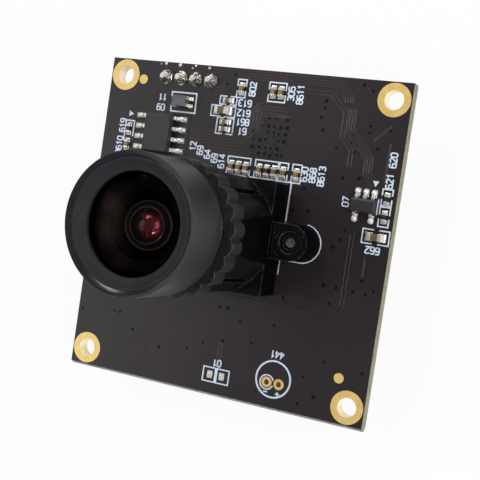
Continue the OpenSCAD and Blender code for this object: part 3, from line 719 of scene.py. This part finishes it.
for points in (
    [(0.65, -12.9), (0.65, -14.7)], [(1.1, -12.9), (1.1, -14.7)], [(15.4, 12.4), (17.2, 14.2)],
    [(13.6, 18.2), (14.4, 17.4)], [(16.4, -0.4), (16.4, -2.6)],
    [(17.85, 7.4), (17.3, 7.95), (17.3, 12.2)],
):
    track(points, 0.2)
# broad supply copper, showing faintly through the mask
for x0, y0, x1, y1 in ((7.3, -4.9, 11.4, -2.9), (-17.6, 4.4, -14.9, 7.6),
                       (-17.4, 13.1, -12.2, 15.4), (-14.4, -17.6, -8.8, -14.4)):
    copper_flat([(x0, y0), (x1, y0), (x1, y1), (x0, y1)],
                [(x0 + .06, y0 + .06), (x1 - .06, y0 + .06), (x1 - .06, y1 - .06),
                 (x0 + .06, y1 - .06)], 0.012, PLAIN)
# the crowded field of vias beside the lens holder
x0, y0, x1, y1 = 0.9, 9.0, 5.35, 13.95
copper_flat([(x0, y0), (x1, y0), (x1, y1), (x0 + 0.9, y1), (x0, y1 - 1.6)],
            [(x0 + .05, y0 + .05), (x1 - .05, y0 + .05), (x1 - .05, y1 - .05),
             (x0 + .93, y1 - .05), (x0 + .05, y1 - 1.63)], FIELD_TOP, CROWDED)
tracks.build("copper_tracks", "board", [mask_on_copper, mask, crowded_mask])

vias = Shape()
random.seed(4)
SINGLE_VIAS = [
    (13.4, 18.3), (14.5, 17.7), (10.7, 17.5), (9.3, 16.2), (9.3, 15.4), (9.0, 14.3),
    (9.4, 12.9), (14.8, 13.9), (14.8, 13.2), (17.1, 13.6), (13, 12.7), (13, 12), (13.6, 11.6),
    (16, 11.5), (11.3, 11.1), (13.4, 10.9), (14, 10.9), (12.5, 7.9), (14.4, 8.1), (8.2, 6.2),
    (7.2, 3.6), (9.1, 3.7), (13.7, 2.2), (13.4, 1.1), (12.6, 0.2), (8, -3.6), (10.7, -3.6),
    (12.2, -4.2), (13.7, -4.2), (15.7, -4.3), (17.1, -4.4), (18, -3.9), (16.5, -3.0),
    (13.2, -6.1), (7.7, -6.4), (1.1, -8.8), (0.1, -8.8), (7.1, -9.7), (2.9, -10),
    (4.7, -12.2), (1.1, -12.7), (13.6, -12.6), (18.1, -13), (11.5, -14.7), (13, -16.7),
    (11.3, -17.8), (-13.1, -11.8), (-13.9, -11.8), (-18.4, -12.3), (-11, -13.6),
    (-7.1, -15), (-3.4, -14.4), (-1.4, -13.3), (-3.2, 17.0), (-2.3, 18.2),
]
FIELD_VIAS = []
for i in range(6):
    for j in range(6):
        if (i * 5 + j * 3) % 7 and (i or j < 4):
            FIELD_VIAS.append((1.2 + i * 0.76 + random.uniform(-0.12, 0.12),
                               9.4 + j * 0.84 + random.uniform(-0.12, 0.12)))


# radius, height and material of a via's rings, from its foot to its middle
VIA_RINGS = [(0.34, 0.0, 0), (0.27, 0.005, 0), (0.22, 0.005, 0), (0.15, 0.001, 1),
             (0.001, 0.001, 1)]


def via(x, y, z=0.0, side=1, widest=1.15):
    """A hole closed by the mask: a shallow dark dimple in a barely raised land. side is
    -1 on the back."""
    wide = random.uniform(0.8, widest)
    for (r0, h0, _), (r1, h1, mat) in zip(VIA_RINGS, VIA_RINGS[1:]):
        vias.revolve([(r * wide, z + side * h) for r, h in ((r0, h0), (r1, h1))][::-side],
                     16, mat, (x, y))


for x, y in SINGLE_VIAS:
    via(x, y)
for x, y in FIELD_VIAS:
    via(x, y, FIELD_TOP, widest=1.25)
# on the back they keep clear of the corner holes and of the controller chip
for _ in range(60):
    x, y = random.uniform(-17.5, 17.5), random.uniform(-17.5, 11.0)
    at_corner = abs(x) > 14.2 and abs(y) > 14.2
    at_chip = abs(x - CONTROLLER.x) < 5.6 and abs(y - CONTROLLER.y) < 5.6
    if not (at_corner or at_chip):
        via(x, y, BOARD_BACK, -1)
vias.build("tented_vias", "board", [mask, tented], True)


# ---------------------------------------------------------------- solder

PAD_TOP = 0.05
wet = Shape()


def fillet(x, y, turn, out, w, h, reach):
    """Concave solder climbing an end face that stands at distance out from x, y."""
    place = turner(x, y, turn)
    rows = []
    for k in range(6):
        u = k / 5
        rise = h * (1 - u) ** 2.2
        spread = w / 2 * (0.96 + 0.16 * u)
        for side in (-1, -0.5, 0, 0.5, 1):
            rows.append((*place(out - 0.02 + reach * u, side * spread),
                         PAD_TOP + rise * (1 - 0.22 * side * side)))
    wet.add(rows, grid_faces(6, 5, closed=False))


# the small parts: a row of eight beside the holder, and the rest near the chips
row_y, step = 7.55, 0.93
small = [(k * step, row_y, 90) for k in (-1.2, -0.2, 0.8, 2.63, 3.63, 4.63, 5.83, 7.58)]
small += [(x, EDGE - 2.4, 90) for x in (-1.2, 2.8, 3.75)]
small += [(-2.7, EDGE - y, 0) for y in (3.9, 6.4, 7.25)]
small += [(MEMORY.x - 4.3, MEMORY.y + y, 90) for y in (-1.8, 0.1)]
small += [(EDGE - 1.1, REGULATOR.y + y, 90) for y in (-0.95, 1)]
large = [(-3.2, EDGE - 5.12, 0), (EDGE - 1.72, REGULATOR.y - 3.25, 0)]
for parts, size in ((small, (0.5, 0.5, 0.30, 0.24)), (large, (0.8, 0.8, 0.5, 0.38))):
    for x, y, turn in parts:
        for flip in (0, 180):
            fillet(x, y, turn + flip, *size)


def puddle(x, y, turn, out, long, wide, seed):
    """Solder that has run over a lead's foot: a smooth uneven mound, longest outwards."""
    place = turner(x, y, turn)
    rows, steps, rings, high = [], 20, 6, 0.36
    for k in range(rings + 1):
        lat = math.pi / 2 * k / rings
        for i in range(steps):
            a = 2 * math.pi * i / steps
            wob = 1 + 0.10 * noise.noise(Vector((math.cos(a), math.sin(a), seed * 3.1)))
            z = 0.04 + high * math.sin(lat) ** 0.8 * (1 - 0.25 * math.cos(lat) * math.cos(a))
            rows.append((*place(out + long * math.cos(lat) * math.cos(a) * wob,
                                wide * math.cos(lat) * math.sin(a) * wob), z))
    wet.add(rows, grid_faces(rings + 1, steps), 1)


for i in range(4):
    for flip in (0, 180):
        puddle(MEMORY.x, MEMORY.y + (i - 1.5) * 1.27, flip, 2.84, 0.56, 0.335, i + flip)
for i, turn in ((-1, 90), (0, 90), (1, 90), (-1, -90), (1, -90)):
    puddle(REGULATOR.x + i * 0.95, REGULATOR.y, turn, 1.55, 0.37, 0.36, i + turn)
wet.build("solder_fillets", "board", [solder, blob_solder], True)

# the mask laps over the outer ends of the memory chip's pads
lap = Shape()
for x in (MEMORY.x - 3.66, MEMORY.x + 3.66):
    lap.ribbon([(x, MEMORY.y - 2.3), (x, MEMORY.y + 2.3)], 0.42, 0.056, slope=0.02)
lap.build("mask_over_pads", "board", [mask])

# hand-soldered joints of the connector pins, with the pin tips standing out of them
DOME = [(0.86, 0.05), (0.84, 0.10), (0.79, 0.2), (0.70, 0.36), (0.59, 0.52), (0.48, 0.68),
        (0.40, 0.84), (0.345, 0.98), (0.30, 1.03), (0.26, 1.0)]


def lumpy_dome(i):
    """How joint i departs from a turned dome: lumps, and folds that run down its side."""
    def sag(a, r, z):
        if z > 0.95:
            return r, z
        k = noise.noise(Vector((math.cos(a) * 1.1, math.sin(a) * 1.1, z * 1.5 + 7.3 * i)))
        fold = max(0.0, math.cos(2.5 * a + 1.9 * i)) ** 8 * min(1.0, (z - 0.05) * 4)
        return r * (1 + 0.2 * k - 0.2 * fold), z + (0.1 * k - 0.06 * fold if z > 0.06 else 0)
    return sag


joints = Shape()
lo, hi = box_mm("pin_solder_joints")
for i in range(4):
    joints.revolve(DOME, 40, 0, (lo.x + 0.8 + i * (hi.x - lo.x - 1.6) / 3, (lo.y + hi.y) / 2),
                   lumpy_dome(i))
o = joints.build("solder_domes", "board", [pin_solder], True)
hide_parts("pin_solder_joints")


def lumpy_speck(seed):
    def sag(a, r, z):
        k = noise.noise(Vector((math.cos(a) * 1.3, math.sin(a) * 1.3, seed)))
        return r * (1 + 0.5 * k), z
    return sag


specks = Shape()
for x, y, r in ((-11.6, 18.75, 0.2), (-9.7, 18.72, 0.22), (-5.8, 18.7, 0.2),
                (-8.0, 18.5, 0.12), (-12.3, 18.7, 0.13), (-7.6, 18.78, 0.14)):
    specks.revolve([(r, 0.0), (r * 0.9, 0.06), (r * 0.6, 0.12), (r * 0.2, 0.15),
                    (0.001, 0.155)], 14, 0, (x, y), lumpy_speck(x))
specks.build("solder_specks", "board", [solder], True)


# ---------------------------------------------------------------- lens body

lo, hi = box_mm("lens_barrel")
BACK_Z, FRONT_Z, HEAD_R = lo.z, hi.z, hi.x
bez_lo, bez_hi = box_mm("lens_front_ring")
cell_lo, cell_hi = box_mm("inner_lens_cell")
HEAD_Z = FRONT_Z - 6.15
NECK_Z, NECK_R, TAIL_R = HEAD_Z - 0.9, 5.5, 5.55
SEAT_Z, POCKET_Z = bez_lo.z, GLASS_BACK
MOUTH = 2.2
ROUND = 0.05
AROUND = 192
LENS_SMOOTH = 35

# the head, from the neck out and up its side to the rounded front edge
prof = [(NECK_R, NECK_Z), (NECK_R, HEAD_Z - 0.12), (5.56, HEAD_Z - 0.03), (5.7, HEAD_Z),
        (HEAD_R - 0.22, HEAD_Z), (HEAD_R - 0.09, HEAD_Z + 0.03), (HEAD_R - 0.02, HEAD_Z + 0.12),
        (HEAD_R, HEAD_Z + 0.26), (HEAD_R, HEAD_Z + 2.0), (HEAD_R, FRONT_Z - 2.0),
        (HEAD_R, FRONT_Z - ROUND - 0.1)]
prof += [(HEAD_R - ROUND + ROUND * math.cos(math.radians(a)),
          FRONT_Z - ROUND + ROUND * math.sin(math.radians(a))) for a in range(0, 91, 10)]
lip_at = len(prof)
# the lip that slopes in to the front ring
prof += [(6.95, FRONT_Z), (6.9, FRONT_Z - 0.006), (6.8, FRONT_Z - 0.033),
         (6.7, FRONT_Z - 0.069), (6.6, FRONT_Z - 0.113), (6.5, FRONT_Z - 0.161),
         (6.4, FRONT_Z - 0.213), (6.35, FRONT_Z - 0.241)]
wall_at = len(prof)
prof += [(6.345, FRONT_Z - 0.26)]
# the black inside, down to the back of the tail
bore_at = len(prof)
prof += [(6.36, SEAT_Z), (5.75, SEAT_Z), (5.75, POCKET_Z), (4.2, POCKET_Z),
         (4.2, BACK_Z + 0.8), (3.3, BACK_Z + 0.8), (3.3, BACK_Z + 0.02), (3.33, BACK_Z),
         (5.4, BACK_Z), (TAIL_R, BACK_Z + 0.04)]
OUTSIDE, INSIDE, LIP = 0, 1, 2
body = Shape()
body.revolve(prof[:lip_at + 1], AROUND, OUTSIDE)
body.revolve(prof[lip_at:wall_at], AROUND, LIP)
body.revolve(prof[wall_at - 1:bore_at + 1], AROUND, OUTSIDE)
body.revolve(prof[bore_at:], AROUND, INSIDE)

# the thread, as one helical V with a flat crest and root, from the tail to the plain neck
CREST_R, ROOT_R, THREAD, TURN_ROWS, TURN_STEPS = 5.91, 5.62, 0.5, 10, 96
FLAT, FADE = 0.12, 0.35
start = BACK_Z + 0.04
rows = int((NECK_Z - start) / THREAD * TURN_ROWS)
verts = []
for j in range(rows + 1):
    z = start + (NECK_Z - start) * j / rows
    for i in range(TURN_STEPS):
        a = 2 * math.pi * i / TURN_STEPS
        phase = ((z / THREAD) - i / TURN_STEPS) % 1.0
        v = 1 - abs(2 * phase - 1)
        v = min(1.0, max(0.0, (v - FLAT) / (1 - 2 * FLAT)))
        r = ROOT_R + (CREST_R - ROOT_R) * v
        # at its ends it fades into the tail and the neck
        fade = min(1.0, (z - start) / FADE, (NECK_Z - z) / FADE)
        r = r * fade + (NECK_R if 2 * z > NECK_Z + start else TAIL_R) * (1 - fade)
        verts.append((r * math.cos(a), r * math.sin(a), z))
body.add(verts, grid_faces(rows + 1, TURN_STEPS))
o = body.build("lens_body", "lens", [anodised, baffle, lip_finish], True)
smooth_by_angle(o, LENS_SMOOTH)
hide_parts("lens_barrel")

# inner cell: flared baffle, and pale beads at its rim and at its mouth: turned edges painted
# pale as painted highlights
CELL_STEPS = 128
DULL, PAINTED_HIGHLIGHT, FLARED = 0, 1, 2
cell = Shape()
top, low = cell_hi.z, cell_lo.z
lip = top - 0.5
prof = [(4.15, low), (4.15, top - 0.03), (4.12, top), (3.56, top), (3.5, top - 0.01)]
prof += [(3.5 - 0.13 * k, top - 0.01 - 0.0965 * k) for k in range(1, 5)]
prof += [(2.85, lip), (MOUTH + 0.09, lip), (MOUTH + 0.02, lip - 0.03), (MOUTH, lip - 0.1),
         (MOUTH, lip - 1.0), (2.85, lip - 1.6), (2.85, low)]
cell.revolve(prof, CELL_STEPS, DULL, close=True)
# the flare between the rim and the mouth has its own finish
for i, (a, b) in enumerate(zip(prof, prof[1:] + prof[:1])):
    if lip - 0.01 <= min(a[1], b[1]) and max(a[0], b[0]) < 3.52:
        for k in range(CELL_STEPS):
            cell.m[k * len(prof) + i] = FLARED
for r, z, thick in ((3.15, top - 0.22, 0.12), (MOUTH + 0.14, lip, 0.10)):
    bead = [(r + thick * math.cos(math.radians(a)), z + thick * math.sin(math.radians(a)))
            for a in range(0, 360, 45)]
    cell.revolve(bead, CELL_STEPS, PAINTED_HIGHLIGHT, close=True)
o = cell.build("lens_cell", "lens", [baffle, turned_edge_painted_highlight, flare], True)
smooth_by_angle(o, LENS_SMOOTH)
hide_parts("inner_lens_cell")

# front ring: a dished bezel with a rounded inner edge
ring = Shape()
inner, dish_from, dish_deep = 5.1, 6.18, 0.05
top, low = bez_hi.z + 0.08, bez_lo.z + 0.02
inner_top = bez_hi.z - 0.6
prof = [(6.35, bez_lo.z), (6.35, top - 0.05), (6.31, top - 0.01), (6.24, top)]
for k in range(9):
    u = k / 8
    prof.append((dish_from - (dish_from - inner - 0.08) * u,
                 top - 0.02 - (top - 0.02 - inner_top) * u
                 - dish_deep * math.sin(math.pi * u)))
prof += [(inner + 0.03, inner_top - 0.02), (inner, inner_top - 0.08), (inner, low + 0.35),
         (inner + 0.05, low + 0.02), (5.6, low)]
ring.revolve(prof, AROUND, close=True)
o = ring.build("front_bezel", "lens", [bezel], True)
smooth_by_angle(o, LENS_SMOOTH)
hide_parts("lens_front_ring")


# ---------------------------------------------------------------- chips

def chip_body(name, node, draft, chamfer, material):
    """A moulded body: sides lean in from the lead line, the top's edge is chamfered, most
    at the end of the first lead, and a dimple marks that lead."""
    lo, hi = box_mm(node)
    line = lo.z + (hi.z - lo.z) * 0.42
    corner = 0.06
    # how far each level is set in on all sides, how much more at the first lead, height
    levels = [(draft * 0.8, 0, lo.z), (0.0, 0, line - 0.03), (0.0, 0, line + 0.03),
              (draft, 0, hi.z - chamfer), (draft + chamfer * 0.5, chamfer * 0.9, hi.z - 0.03),
              (draft + chamfer * 0.5 + 0.04, chamfer * 0.9 + 0.03, hi.z)]
    rows = []
    for inset, end, z in levels:
        x0, x1 = lo.x + inset, hi.x - inset
        y0, y1 = lo.y + inset, hi.y - inset - end
        rows += [(x0 + corner, y0, z), (x1 - corner, y0, z), (x1, y0 + corner, z),
                 (x1, y1 - corner, z), (x1 - corner, y1, z), (x0 + corner, y1, z),
                 (x0, y1 - corner, z), (x0, y0 + corner, z)]
    n = len(rows)
    body = Shape()
    body.add(rows, grid_faces(len(levels), 8)
             + [tuple(range(n - 8, n)), tuple(range(7, -1, -1))])
    # the dimple, in from the top's corner at the first lead
    x, y = rows[-2][0] + 0.42, rows[-3][1] - 0.42
    r = min(0.2, (hi.x - lo.x) * 0.08)
    body.revolve([(r, hi.z + 0.002), (r * 0.9, hi.z + 0.005), (r * 0.8, hi.z + 0.002),
                  (0.001, hi.z + 0.001)], 20, 0, (x, y))
    o = body.build(name, "board", [material])
    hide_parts(node)


chip_body("memory_body", "memory_chip", 0.11, 0.24, epoxy)
chip_body("regulator_body", "regulator_chip", 0.09, 0.10, dark_epoxy)


# ---------------------------------------------------------------- stage

# the floor is a hair below the part. The camera, gloss and glass see it almost white;
# to all other light it is a pale matt surface, which keeps the shadow.
FLOOR_SIZE, FLOOR_GAP, WHITE_SHARE = 2.4, 0.00002, 0.92
bpy.ops.mesh.primitive_plane_add(size=FLOOR_SIZE,
                                 location=(0, 0, CAD_BOX[0].z - FLOOR_GAP))
floor = bpy.context.object
floor.name = "floor"
m, t, p = new_material("pale_floor")
t.nodes.remove(p)
diffuse = add(t, "ShaderNodeBsdfDiffuse", Color=(0.86, 0.86, 0.86, 1))
glow = add(t, "ShaderNodeEmission", Color=(1, 1, 1, 1), Strength=1.0)
path = add(t, "ShaderNodeLightPath")
seen = path.outputs["Is Camera Ray"]
for name in ("Is Glossy Ray", "Is Transmission Ray"):
    seen = calculate(t, "MAXIMUM", seen, path.outputs[name])
surface = mix_shaders(t, multiply(t, seen, WHITE_SHARE), diffuse.outputs[0], glow.outputs[0])
link(t, surface, t.nodes["Material Output"].inputs["Surface"])
floor.data.materials.append(m)

world = bpy.data.worlds.new("studio")
scene.world = world
world.use_nodes = True
set_inputs(world.node_tree.nodes["Background"], {"Color": (1, 1, 1, 1), "Strength": 0.08})


def softbox(name, at, aim, width, height, watts):
    """A rectangular light at a place, facing aim."""
    data = bpy.data.lights.new(name, "AREA")
    data.shape = "RECTANGLE"
    data.size, data.size_y = width, height
    data.energy = watts
    o = bpy.data.objects.new(name, data)
    scene.collection.objects.link(o)
    o.location = at
    o.rotation_mode = "QUATERNION"
    o.rotation_quaternion = (Vector(aim) - Vector(at)).to_track_quat("-Z", "Y")


# a tall wall of light at the left with two hotter patches, a key at the upper right, a
# strip far off at the upper left and a small one that catches the lip of the lens
WALL_AWAY = 0.42
LEFT = Vector((-0.745, 0.0, 0.655)) * WALL_AWAY
for name, y, w, h, watts in (("left_wall", -0.06, 0.46, 0.284, 0.41),
                             ("left_upper", 0.055, 0.085, 0.13, 0.18),
                             ("left_lower", -0.06, 0.085, 0.13, 0.18)):
    at = LEFT + Vector((0, y, 0.0))
    softbox(name, at, at - LEFT, w, h, watts)
softbox("key", (0.317, 0.056, 0.27), (0, 0, 0.005), 0.25, 0.25, 0.98)
softbox("far_light", (-0.121, 0.304, 0.284), (0, 0, 0.02), 0.19, 0.09, 0.62)
softbox("spark", (0.162, -0.231, 0.274), (0, 0, 0.02), 0.085, 0.035, 0.48)

# ---------------------------------------------------------------- camera

# solved from the corners of the board and the rings of its corner holes
FOCAL_PIXELS, PICTURE_PIXELS, SENSOR = 954.5, 480, 36.0
CAMERA_AT = (0.04583139, 0.00348382, 0.10106369)
right = Vector((0.90295073, 0.14798521, -0.40346047)).normalized()
forward = Vector((-0.4024167, -0.03828108, -0.91465587)).normalized()
down = forward.cross(right).normalized()
right = down.cross(forward).normalized()
cam_data = bpy.data.cameras.new("camera")
cam_data.sensor_width = SENSOR
cam_data.lens = FOCAL_PIXELS / PICTURE_PIXELS * SENSOR
cam_data.clip_start, cam_data.clip_end = 0.01, 10.0
cam = bpy.data.objects.new("camera", cam_data)
scene.collection.objects.link(cam)
cam.matrix_world = Matrix((
    *zip(right, -down, -forward, CAMERA_AT),
    (0, 0, 0, 1),
))
scene.camera = cam
